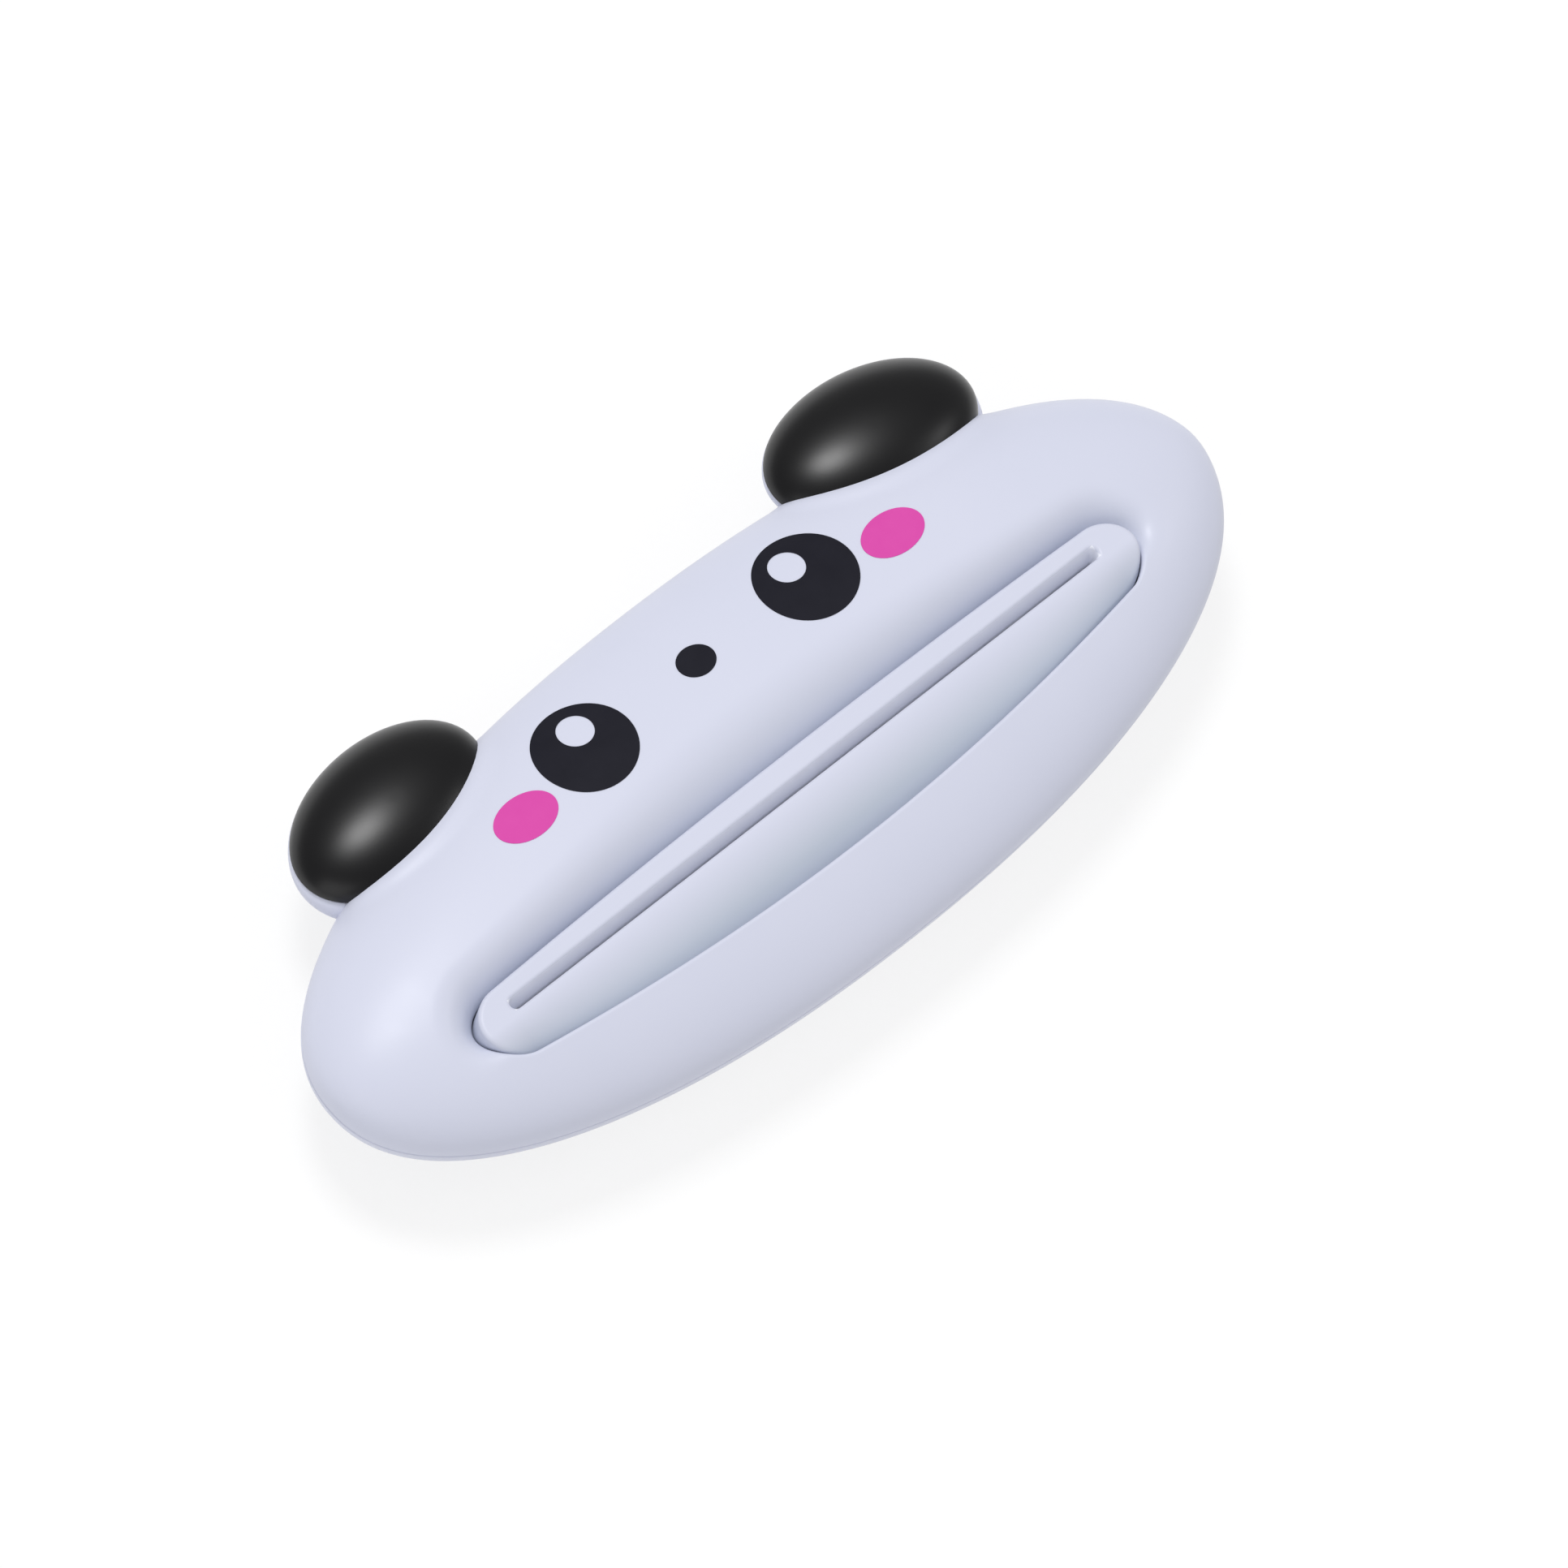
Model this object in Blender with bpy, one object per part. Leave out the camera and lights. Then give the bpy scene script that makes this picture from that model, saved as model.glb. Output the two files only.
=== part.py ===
"""A toothpaste tube squeezer shaped like a panda's face, lying on its back.

X runs along the slot, Y towards the ears and Z out of the face, in metres. The flat end of a
tube goes in at the back, through the slot, and comes out at the mouth. The origin is on the
resting plane, under the middle of the whole part.
"""

import math

import bmesh
import bpy
from mathutils import Matrix

# Slot, sized for the flat end of a common tube, with a narrow squeezing edge just inside
SLOT_HALF_LENGTH = 0.0313
SLOT_HALF_WIDTH = 0.0005
SLOT_DROP = 0.00316
SLOT_HEIGHT = 0.0056
SLOT_ROUND = 0.0003
SQUEEZE_HALF_WIDTH = 0.00025
SQUEEZE_DEPTH = 0.0016

# Mouth opening in the face, and the tongue in it
MOUTH_MARGIN = 0.0034
MOUTH_END = 0.0030
MOUTH_ABOVE = 0.0026
MOUTH_BELOW = 0.0065
MOUTH_TOP_BOW = 0.00065
MOUTH_LOW_BOW = 0.0031
EDGE_ROUND = 0.00035
TONGUE_RISE = 0.0022
TONGUE_FLAT_BELOW = 0.0010
TONGUE_FALL_POWER = 1.7
LIP_STEP = 0.0030
LIP_DEPTH = 0.0015
LIP_BACK_WIDTH = 0.0030
LIP_END_SHARE = 0.5
LIP_FADE_SHARE = 0.6
ROLL_WIDTH = 0.0060
ROLL_POWER = 2.2
ROLL_END_SHARE = 0.6
ROLL_FADE_LOW_SHARE = -0.5
ROLL_FADE_HIGH_SHARE = 0.6

# Body, a pebble of two shells that meet at the seam, where the height is zero
BODY_MARGIN = 0.0113
BODY_HALF_WIDTH = 0.017
FRONT_DEPTH = 0.0066
REAR_DEPTH = 0.011
REST_DEPTH = 0.0088
WALL = 0.0018
CLEARANCE = 0.0003
SEAM_GAP = 0.0003
OUTLINE_POWER = 2.18
FRONT_CROWN_POWER = 3.5
FRONT_SECTION_POWER = 2.0
REAR_CROWN_POWER = 2.0
REAR_SECTION_POWER = 2.0

# Lap joint round the seam
RIM_LAND = 0.00075
LAP_DEPTH = 0.0012

# Throat under the tongue, with its flange and its funnel at the back
THROAT_WALL = 0.0013
FLANGE_WIDTH = 0.0012
FLANGE_THICKNESS = 0.0012
FLANGE_GAP = 0.0004
TONGUE_WALL = 0.0015
POCKET_OUTER_SHARE = 0.8
FUNNEL_HALF_WIDTH = 0.0013
FUNNEL_DEPTH = 0.0025
COLLAR_WALL = 0.0012
TROUGH_HALF_WIDTH = 0.0046
TROUGH_DEPTH = 0.0020
TROUGH_FLOOR_SHARE = 0.7

# Two straight rails on the back's level land, which the part rests on
RAIL_RISE = 0.0003
UPPER_RAIL_HALF_WIDTH = 0.0016
LOWER_RAIL_HALF_WIDTH = 0.0008
UPPER_RAIL_SHARE = 0.42
LOWER_RAIL_SHARE = 0.25

# Pins on the front shell, in bosses on the rear shell
PIN_RADIUS = 0.00115
PIN_DEPTH = 0.0032
BOSS_WALL = 0.0010
BOSS_MARGIN = 0.0013
BOSS_SPREAD = 0.0140

# Ears, black fronts on white backs
EAR_SPREAD_SHARE = 0.56
EAR_RISE = 0.0012
EAR_SEAM = 0.0010
EAR_HALF_LENGTH = 0.0095
EAR_HALF_HEIGHT = 0.00605
EAR_DOME = 0.0034
EAR_BACK_DEPTH = 0.0044
EAR_TILT = math.radians(6.5)
EAR_LEAN = 0.13
ROOT_FLARE = 0.0021
ROOT_TURN = math.radians(-48)
ROOT_POWER = 3.0
PEG_RADIUS = 0.0011
PEG_DEPTH = 0.0028
PEG_SPREAD_SHARE = 0.38
PEG_RISE_SHARE = 0.42

# Printed face
PRINT_THICKNESS = 0.00025
FACE_LINE_SHARE = 0.553
EYE_RADIUS = 0.00423
EYE_GAP = 0.00589
HIGHLIGHT_RADIUS = 0.0015
HIGHLIGHT_INWARD = 0.0005
HIGHLIGHT_UP = 0.00158
NOSE_HALF_WIDTH = 0.00168
NOSE_HALF_HEIGHT = 0.00148
CHEEK_GAP = 0.0007
CHEEK_HALF_WIDTH = 0.00287
CHEEK_HALF_HEIGHT = 0.00201
CHEEK_DROP = 0.00155

# Plastics, as linear colours
WHITE = (0.72, 0.75, 0.87)
EAR_BLACK = (0.022, 0.023, 0.027)
PRINT_BLACK = (0.024, 0.025, 0.034)
PRINT_PINK = (0.73, 0.093, 0.45)
SHELL_ROUGHNESS = 0.38
EAR_ROUGHNESS = 0.33
PRINT_ROUGHNESS = 0.5
CREASE_ANGLE = math.radians(32)

# How finely the outlines are divided
SIDE_STEPS = 26
END_STEPS = 14
ROUND_STEPS = 3
EAR_STEPS = 36
PRINT_STEPS = 28
PIN_STEPS = 16
BODY_SIDE_SHARE = 0.8
FACE_RING_SHARES = (0.05, 0.11, 0.18, 0.26, 0.37, 0.50, 0.64, 0.77, 0.87, 0.94, 0.98, 1.0)
TONGUE_RING_SHARES = (0.25, 0.50, 0.75, 1.0)
BACK_RING_SHARES = (0.20, 0.40, 0.60, 0.76, 0.88, 0.96, 1.0)
INNER_RING_SHARES = (1.0, 0.96, 0.85, 0.65, 0.35, 0.0)
LOBE_RING_SHARES = (0.0, 0.20, 0.40, 0.58, 0.74, 0.87, 0.95)
BLOCK_RING_SHARES = (0.3, 0.6, 0.8, 0.93, 1.0)
BLOCK_CORE_SHARE = 0.3
PRINT_CORE_SHARE = 0.4
EAR_SECTION_POWER = 2.0
EAR_NAMES = {-1: "left", 1: "right"}
CORNERS = ((1, 1), (-1, 1), (-1, -1), (1, -1))

# Sizes that follow from those above
SEAM_HALF = SEAM_GAP / 2
MOUTH_HALF_LENGTH = SLOT_HALF_LENGTH + MOUTH_MARGIN
BODY_HALF_LENGTH = MOUTH_HALF_LENGTH + BODY_MARGIN
EAR_SPREAD = BODY_HALF_LENGTH * EAR_SPREAD_SHARE
FACE_LINE = BODY_HALF_WIDTH * FACE_LINE_SHARE
TROUGH_FLOOR = TROUGH_DEPTH - REST_DEPTH
LAND_DEPTH = REST_DEPTH - RAIL_RISE
SLOT_HALF_STRAIGHT = SLOT_HALF_LENGTH - SLOT_HALF_WIDTH
MOUTH_HALF_STRAIGHT = MOUTH_HALF_LENGTH - MOUTH_END
THROAT_HALF_WIDTH = SLOT_HALF_WIDTH + THROAT_WALL
COLLAR_INSIDE = THROAT_HALF_WIDTH + CLEARANCE
COLLAR_OUTSIDE = COLLAR_INSIDE + COLLAR_WALL
MOAT_HEIGHT = SLOT_HEIGHT - TONGUE_RISE
REBATE_DEPTH = LAP_DEPTH + CLEARANCE
BOSS_HOLE = PIN_RADIUS + CLEARANCE
BOSS_RADIUS = BOSS_HOLE + BOSS_WALL
EYE_SPREAD = NOSE_HALF_WIDTH + EYE_GAP + EYE_RADIUS
CHEEK_SPREAD = EYE_SPREAD + EYE_RADIUS + CHEEK_GAP + CHEEK_HALF_WIDTH


def smooth(share):
    """Runs from 0 to 1 with a level start and end."""
    share = min(max(share, 0.0), 1.0)
    return share * share * (3.0 - 2.0 * share)


def mix(a, b, share):
    """The point or number at a share of the way from a to b."""
    if isinstance(a, tuple):
        return tuple(mix(p, q, share) for p, q in zip(a, b))
    return a + (b - a) * share


def arch(share, power):
    """A rounded arch: 1 at the middle, 0 at a share of 1."""
    return max(1.0 - min(abs(share), 1.0) ** power, 0.0) ** (1.0 / power)


def half_width(x, inset=0.0):
    """Half the body's width at x, on an outline drawn in by inset."""
    return (BODY_HALF_WIDTH - inset) * arch(x / (BODY_HALF_LENGTH - inset), OUTLINE_POWER)


def crown(x, y, depth, inset, crown_power, section_power):
    """Height of a rounded half of the body over the seam."""
    width = half_width(x, inset)
    if width <= 0.0:
        return 0.0
    top = (depth - inset) * arch(x / (BODY_HALF_LENGTH - inset), crown_power)
    return top * arch(y / width, section_power)


def mouth_top(x):
    return MOUTH_ABOVE - SLOT_DROP - MOUTH_TOP_BOW * (x / MOUTH_HALF_LENGTH) ** 2


def mouth_low(x):
    return MOUTH_LOW_BOW * (x / MOUTH_HALF_LENGTH) ** 2 - MOUTH_BELOW - SLOT_DROP


def past_mouth(x, y):
    """How far a place is outside the mouth, and its share across: 1 at the top, -1 at the lip."""
    near = min(max(x, -MOUTH_HALF_STRAIGHT), MOUTH_HALF_STRAIGHT)
    middle = mix(mouth_low(near), mouth_top(near), 0.5)
    half = mix(mouth_top(near), -mouth_low(near), 0.5)
    across = y - middle
    along = x - near
    scale = math.hypot(along / MOUTH_END, across / half)
    reach = math.hypot(along, across)
    away = reach - reach / scale if scale > 1.0 else 0.0
    return away, across / half


def towards_end(x, share):
    """Runs from 1 in the middle of the mouth to the share at its ends."""
    return mix(1.0, share, smooth(abs(x) / MOUTH_HALF_LENGTH))


def roll_in(x, y):
    """How far the face sinks from its crown to the upper edge of the mouth."""
    away, across = past_mouth(x, y)
    span = ROLL_FADE_HIGH_SHARE - ROLL_FADE_LOW_SHARE
    upper = smooth((across - ROLL_FADE_LOW_SHARE) / span)
    width = ROLL_WIDTH * towards_end(x, ROLL_END_SHARE)
    fall = max(1.0 - away / width, 0.0) ** ROLL_POWER
    above = crown(x, y, FRONT_DEPTH, 0.0, FRONT_CROWN_POWER, FRONT_SECTION_POWER) - MOAT_HEIGHT
    return max(above, 0.0) * fall * upper


def lip_depth(x, y):
    """How much thicker the face is behind the lower lip, where the tongue lies deepest."""
    away, across = past_mouth(x, y)
    lower = smooth(-across / LIP_FADE_SHARE) * towards_end(x, LIP_END_SHARE)
    return LIP_DEPTH * lower * smooth((LIP_BACK_WIDTH - away) / (LIP_BACK_WIDTH - FLANGE_WIDTH))


def front_height(x, y, inset=0.0):
    """Height of the face over the seam, or of its inside at an inset of the wall."""
    top = crown(x, y, FRONT_DEPTH, inset, FRONT_CROWN_POWER, FRONT_SECTION_POWER)
    return top - roll_in(x, y)


def tongue_height(x, y):
    """The tongue is level round the slot and falls away to the crease under the lower lip."""
    near = min(max(x, -MOUTH_HALF_STRAIGHT), MOUTH_HALF_STRAIGHT)
    low = mouth_low(near)
    flat_end = -SLOT_DROP - TONGUE_FLAT_BELOW
    fall = max((flat_end - y) / (flat_end - low), 0.0)
    step = LIP_STEP * towards_end(near, LIP_END_SHARE)
    drop = SLOT_HEIGHT - front_height(near, low) + step
    return SLOT_HEIGHT - drop * fall ** TONGUE_FALL_POWER


def rear_height(x, y):
    """Height of the back, which is below the seam, before its land and its trough are cut."""
    return -crown(x, y, REAR_DEPTH, 0.0, REAR_CROWN_POWER, REAR_SECTION_POWER)


def inside_rear(x, y):
    """The back's inside, which keeps a wall over the land and over the trough."""
    along = max(abs(x) - SLOT_HALF_STRAIGHT, 0.0)
    away = math.hypot(along, y + SLOT_DROP) / TROUGH_HALF_WIDTH
    trough = TROUGH_DEPTH * smooth((1.0 - away) / (1.0 - TROUGH_FLOOR_SHARE))
    depth = crown(x, y, REAR_DEPTH, WALL, REAR_CROWN_POWER, REAR_SECTION_POWER)
    return -min(depth, LAND_DEPTH - WALL - trough)


def stations():
    """Places round a long outline, anticlockwise from the front: along, end and across shares."""
    places = [(1.0 - 2.0 * i / SIDE_STEPS, 0.0, 1.0) for i in range(SIDE_STEPS)]
    turns = [math.pi * (0.5 + i / END_STEPS) for i in range(END_STEPS)]
    places += [(-1.0, math.cos(turn), math.sin(turn)) for turn in turns]
    return places + [(-along, -end, -across) for along, end, across in places]


STATIONS = stations()


def slot_line(width, drop=SLOT_DROP):
    """An outline at a half width round the slot, with round ends."""
    return [
        (along * SLOT_HALF_STRAIGHT + end * width, across * width - drop)
        for along, end, across in STATIONS
    ]


def squeeze_line():
    """The narrow gap that presses the tube, against the slot's lower side."""
    return slot_line(SQUEEZE_HALF_WIDTH, SLOT_DROP + SLOT_HALF_WIDTH - SQUEEZE_HALF_WIDTH)


def mouth_line(outset=0.0):
    """The mouth's outline, or one drawn out from it."""
    line = []
    for along, end, across in STATIONS:
        x = along * MOUTH_HALF_STRAIGHT + end * MOUTH_END
        middle = mix(mouth_low(x), mouth_top(x), 0.5)
        half = mix(mouth_top(x), -mouth_low(x), 0.5)
        line.append((x + end * outset, middle + across * (half + outset)))
    return line


def long_line(half_length, width_at):
    """An outline from its half width at each x, dense towards the ends."""
    side = half_length * BODY_SIDE_SHARE
    line = []
    for along, end, across in STATIONS:
        x = along * side + end * (half_length - side)
        line.append((x, math.copysign(width_at(x), across)))
    return line


def body_line(inset=0.0):
    return long_line(BODY_HALF_LENGTH - inset, lambda x: half_width(x, inset))


def between(inner, outer, share):
    return [mix(a, b, share) for a, b in zip(inner, outer)]


def raised(line, height):
    """The outline as points, at a fixed height or at the height of a surface."""
    if callable(height):
        return [(x, y, height(x, y)) for x, y in line]
    return [(x, y, height) for x, y in line]


def rounding():
    """Shares across and down a rounded edge, from its side to its top."""
    turns = [math.pi / 2 * i / ROUND_STEPS for i in range(ROUND_STEPS)]
    return [(1.0 - math.cos(turn), 1.0 - math.sin(turn)) for turn in turns]


def fill(name, rings, ring_closed):
    """A mesh through rings of points, whose ends meet each other or have a cap each."""
    bm = bmesh.new()
    rows = [[bm.verts.new(point) for point in ring] for ring in rings]
    pairs = list(zip(rows, rows[1:]))
    if ring_closed:
        pairs.append((rows[-1], rows[0]))
    for low, high in pairs:
        for i in range(len(low)):
            j = (i + 1) % len(low)
            bm.faces.new((low[i], low[j], high[j], high[i]))
    if not ring_closed:
        bm.faces.new(rows[0])
        bm.faces.new(rows[-1])
    bmesh.ops.recalc_face_normals(bm, faces=bm.faces)
    mesh = bpy.data.meshes.new(name)
    bm.to_mesh(mesh)
    bm.free()
    return mesh


def footprint_middle():
    """The middle of the part's width, from the lower edge of the body to the top of the ears."""
    ear_reach = math.hypot(
        EAR_HALF_HEIGHT * math.cos(EAR_TILT), EAR_HALF_LENGTH * math.sin(EAR_TILT)
    )
    return mix(ear_middle() + ear_reach, -BODY_HALF_WIDTH, 0.5)


def ear_middle():
    return half_width(EAR_SPREAD) + EAR_RISE


def place(name, mesh):
    """An object that stands on the resting plane, with the origin under its middle."""
    thing = bpy.data.objects.new(name, mesh)
    thing.location = (0.0, -footprint_middle(), REST_DEPTH)
    bpy.context.scene.collection.objects.link(thing)
    return thing


def guide(name, mesh):
    """A solid that only shapes others."""
    thing = place(name, mesh)
    thing.hide_render = True
    thing.display_type = "WIRE"
    return thing


def finish(part, colour, roughness):
    """Gives the part its own plastic and smooth shading with crisp edges."""
    material = bpy.data.materials.new(part.name + "_finish")
    material.use_nodes = True
    shader = material.node_tree.nodes["Principled BSDF"]
    shader.inputs["Base Color"].default_value = (*colour, 1.0)
    shader.inputs["Roughness"].default_value = roughness
    shader.inputs["Metallic"].default_value = 0.0
    part.data.materials.append(material)
    part.data.shade_smooth()
    part.data.set_sharp_from_angle(angle=CREASE_ANGLE)
    return part


def combine(part, tool, operation):
    """Adds the tool's solid to the part, or cuts it away."""
    step = part.modifiers.new(operation.lower() + "_" + tool.name, "BOOLEAN")
    step.operation = operation
    step.solver = "EXACT"
    step.object = tool


def columns(name, spots, radius, low, high):
    """Round upright columns at the spots. The ends are heights, or functions of the spot."""
    bm = bmesh.new()
    for x, y in spots:
        bottom = low(x, y) if callable(low) else low
        top = high(x, y) if callable(high) else high
        centre = Matrix.Translation((x, y, mix(bottom, top, 0.5)))
        bmesh.ops.create_cone(
            bm,
            cap_ends=True,
            segments=PIN_STEPS,
            radius1=radius,
            radius2=radius,
            depth=top - bottom,
            matrix=centre,
        )
    mesh = bpy.data.meshes.new(name)
    bm.to_mesh(mesh)
    bm.free()
    return guide(name, mesh)


def pin_spots():
    """Two pins past the ends of the mouth and two over it."""
    end = MOUTH_HALF_LENGTH + FLANGE_WIDTH + BOSS_MARGIN + BOSS_RADIUS
    lower = mouth_top(0.0) + FLANGE_WIDTH
    upper = mix(lower, half_width(BOSS_SPREAD, WALL), 0.5)
    level = mix(mouth_low(MOUTH_HALF_LENGTH), mouth_top(MOUTH_HALF_LENGTH), 0.5)
    return [(-end, level), (end, level), (-BOSS_SPREAD, upper), (BOSS_SPREAD, upper)]


def inside_front(x, y):
    return front_height(x, y, WALL) - lip_depth(x, y)


def middle_of_wall(x, y):
    return mix(front_height(x, y), inside_front(x, y), 0.5)


def flange_top(x, y):
    return inside_front(x, y) - FLANGE_GAP


def flange_bottom(x, y):
    return flange_top(x, y) - FLANGE_THICKNESS


def make_front_shell():
    """The face: crown, rolled-in upper mouth wall, crisp lower lip, and a lip round the seam."""
    mouth = mouth_line()
    rings = []
    for across, down in rounding():
        edge = mouth_line(EDGE_ROUND * across)
        rings.append(raised(edge, lambda x, y: front_height(x, y) - EDGE_ROUND * down))
    start = mouth_line(EDGE_ROUND)
    rings.append(raised(start, front_height))
    for share in FACE_RING_SHARES:
        ring = between(start, body_line(), share)
        rings.append(raised(ring, lambda x, y: max(front_height(x, y), SEAM_HALF)))
    lip = body_line(RIM_LAND + CLEARANCE)
    inside = body_line(WALL)
    rings.append(raised(lip, SEAM_HALF))
    rings.append(raised(lip, -LAP_DEPTH))
    rings.append(raised(inside, -LAP_DEPTH))
    for share in INNER_RING_SHARES:
        rings.append(raised(between(mouth_line(FLANGE_WIDTH), inside, share), inside_front))
    rings.append(raised(mouth, inside_front))
    shell = place("front_shell", fill("front_shell", rings, True))
    pins = columns("pins", pin_spots(), PIN_RADIUS, -PIN_DEPTH, middle_of_wall)
    combine(shell, pins, "UNION")
    return finish(shell, WHITE, SHELL_ROUGHNESS)


def make_slot_throat():
    """The tongue, the flange that the shells trap, and the throat that carries the slot through."""
    rings = []
    for across, down in rounding():
        edge = slot_line(SLOT_HALF_WIDTH + SLOT_ROUND * across)
        rings.append(raised(edge, SLOT_HEIGHT - SLOT_ROUND * down))
    start = slot_line(SLOT_HALF_WIDTH + SLOT_ROUND)
    rings.append(raised(start, tongue_height))
    side = mouth_line(-CLEARANCE)
    rim = mouth_line(-CLEARANCE - EDGE_ROUND)
    for share in TONGUE_RING_SHARES:
        rings.append(raised(between(start, rim, share), tongue_height))
    for across, down in reversed(rounding()):
        edge = mouth_line(-CLEARANCE - EDGE_ROUND * across)
        rings.append(raised(edge, lambda x, y: tongue_height(x, y) - EDGE_ROUND * down))
    flange = mouth_line(FLANGE_WIDTH)
    throat = slot_line(THROAT_HALF_WIDTH)
    pocket = between(throat, side, POCKET_OUTER_SHARE)
    for line in (side, mouth_line(), flange):
        rings.append(raised(line, flange_top))
    rings.append(raised(flange, flange_bottom))
    rings.append(raised(pocket, flange_bottom))
    rings.append(pocket_roof(pocket))
    rings.append(pocket_roof(throat))
    rings.append(raised(throat, TROUGH_FLOOR))
    rings.append(raised(slot_line(FUNNEL_HALF_WIDTH), TROUGH_FLOOR))
    rings.append(raised(slot_line(SLOT_HALF_WIDTH), TROUGH_FLOOR + FUNNEL_DEPTH))
    rings.append(raised(squeeze_line(), SLOT_HEIGHT - SQUEEZE_DEPTH))
    insert = place("slot_throat", fill("slot_throat", rings, True))
    return finish(insert, WHITE, SHELL_ROUGHNESS)


def pocket_roof(line):
    """The hollow under the tongue, deep on the wide lower side and shallow over the slot."""
    roof = []
    for (x, y), (along, end, across) in zip(line, STATIONS):
        floor = flange_bottom(x, y)
        depth = tongue_height(x, y) - TONGUE_WALL - floor
        lower = smooth(mix(0.5, -0.5, mix(0.5, 1.0, across)))
        roof.append((x, y, floor + max(depth * lower, CLEARANCE)))
    return roof


def collar_top():
    """The collar reaches up to the lowest point of the tongue's underside."""
    under = mouth_line(FLANGE_WIDTH) + slot_line(THROAT_HALF_WIDTH)
    return min(flange_bottom(x, y) for x, y in under) - CLEARANCE


def land_cutter():
    """Cuts the back level round the groove."""
    outline = body_line()
    rings = [raised(outline, -LAND_DEPTH), raised(outline, -REAR_DEPTH - WALL)]
    return guide("land_cutter", fill("land_cutter", rings, False))


def rest_rail(name, side, half, share):
    """A straight rail with sloping sides, midway between the groove and the land's edge."""
    land_edge = BODY_HALF_WIDTH * arch(LAND_DEPTH / REAR_DEPTH, REAR_SECTION_POWER)
    middle = mix(side * TROUGH_HALF_WIDTH - SLOT_DROP, side * land_edge, 0.5)
    length = BODY_HALF_LENGTH * share
    foot = [(x * (length - RAIL_RISE), middle + y * (half - RAIL_RISE)) for x, y in CORNERS]
    root = [(x * length, middle + y * half) for x, y in CORNERS]
    rings = [raised(foot, -REST_DEPTH), raised(root, WALL / 2 - LAND_DEPTH)]
    return guide(name, fill(name, rings, False))


def trough_cutter():
    """The groove in the back, with sloping sides, that leads a tube to the funnel."""
    slope = TROUGH_HALF_WIDTH * (1.0 - TROUGH_FLOOR_SHARE)
    rings = [
        raised(slot_line(TROUGH_HALF_WIDTH + slope * i), TROUGH_FLOOR - TROUGH_DEPTH * (i + 1))
        for i in (-1, 1)
    ]
    return guide("trough_cutter", fill("trough_cutter", rings, False))


def make_rear_shell():
    """The back: level land with rails, tube groove, collar, bosses and ear backs."""
    opening = slot_line(COLLAR_INSIDE)
    inside = body_line(WALL)
    collar = slot_line(COLLAR_OUTSIDE)
    rings = [raised(opening, rear_height)]
    for share in BACK_RING_SHARES:
        ring = between(opening, body_line(), share)
        rings.append(raised(ring, lambda x, y: min(rear_height(x, y), -SEAM_HALF)))
    rebate = body_line(RIM_LAND)
    rings.append(raised(rebate, -SEAM_HALF))
    rings.append(raised(rebate, -REBATE_DEPTH))
    for share in INNER_RING_SHARES:
        ring = between(collar, inside, share)
        rings.append(raised(ring, lambda x, y: min(inside_rear(x, y), -REBATE_DEPTH)))
    rings.append(raised(collar, collar_top()))
    rings.append(raised(opening, collar_top()))
    shell = place("rear_shell", fill("rear_shell", rings, True))
    combine(shell, land_cutter(), "DIFFERENCE")
    combine(shell, trough_cutter(), "DIFFERENCE")
    upper = rest_rail("upper_rail", 1, UPPER_RAIL_HALF_WIDTH, UPPER_RAIL_SHARE)
    lower = rest_rail("lower_rail", -1, LOWER_RAIL_HALF_WIDTH, LOWER_RAIL_SHARE)
    combine(shell, upper, "UNION")
    combine(shell, lower, "UNION")
    boss_floor = WALL / 2 - LAND_DEPTH
    bosses = columns("bosses", pin_spots(), BOSS_RADIUS, boss_floor, -CLEARANCE)
    combine(bosses, rear_block("boss_limit"), "INTERSECT")
    hole_floor = -PIN_DEPTH - CLEARANCE
    holes = columns("boss_holes", pin_spots(), BOSS_HOLE, hole_floor, CLEARANCE)
    combine(shell, bosses, "UNION")
    combine(shell, holes, "DIFFERENCE")
    for side in (-1, 1):
        combine(shell, ear_back(side), "UNION")
        combine(shell, peg_columns(side, "peg_holes", PEG_RADIUS + CLEARANCE), "DIFFERENCE")
    return finish(shell, WHITE, SHELL_ROUGHNESS)


def ear_point(side, a, b):
    """The place at a along and b up an ear that leans outwards."""
    turn = -side * EAR_TILT
    x = side * EAR_SPREAD + a * math.cos(turn) - b * math.sin(turn)
    return x, ear_middle() + a * math.sin(turn) + b * math.cos(turn)


def lobe_mesh(name, side, facing, depth, flare):
    """Half of an ear's rounded lobe, before or behind the ear's seam, with a flared outer root."""
    rings = []
    for share in LOBE_RING_SHARES:
        level = mix(SEAM_HALF, depth, share)
        scale = arch(level / depth, EAR_SECTION_POWER)
        ring = []
        for i in range(EAR_STEPS):
            turn = 2.0 * math.pi * i / EAR_STEPS
            reach = math.hypot(math.cos(turn) / EAR_HALF_LENGTH, math.sin(turn) / EAR_HALF_HEIGHT)
            root = flare * max(math.cos(turn - ROOT_TURN), 0.0) ** ROOT_POWER
            radius = scale / reach + root * math.sin(math.pi * level / depth)
            a = side * radius * math.cos(turn)
            b = radius * math.sin(turn)
            ring.append((*ear_point(side, a, b), EAR_SEAM - EAR_LEAN * b + facing * level))
        rings.append(ring)
    return fill(name, rings, False)


def block(name, inset, height, foot):
    """A solid half of the body, whose skin is inset from it or stands off it."""
    outer = body_line(inset)
    centre = [(x * BLOCK_CORE_SHARE, y * BLOCK_CORE_SHARE) for x, y in outer]
    rings = [raised(between(centre, outer, share), height) for share in BLOCK_RING_SHARES]
    rings.append(raised(outer, foot))
    return guide(name, fill(name, rings, False))


def front_block(name):
    """The front half of the body, with clearance round it."""

    def height(x, y):
        return crown(x, y, FRONT_DEPTH, -CLEARANCE, FRONT_CROWN_POWER, FRONT_SECTION_POWER)

    return block(name, -CLEARANCE, height, -SEAM_HALF)


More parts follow.
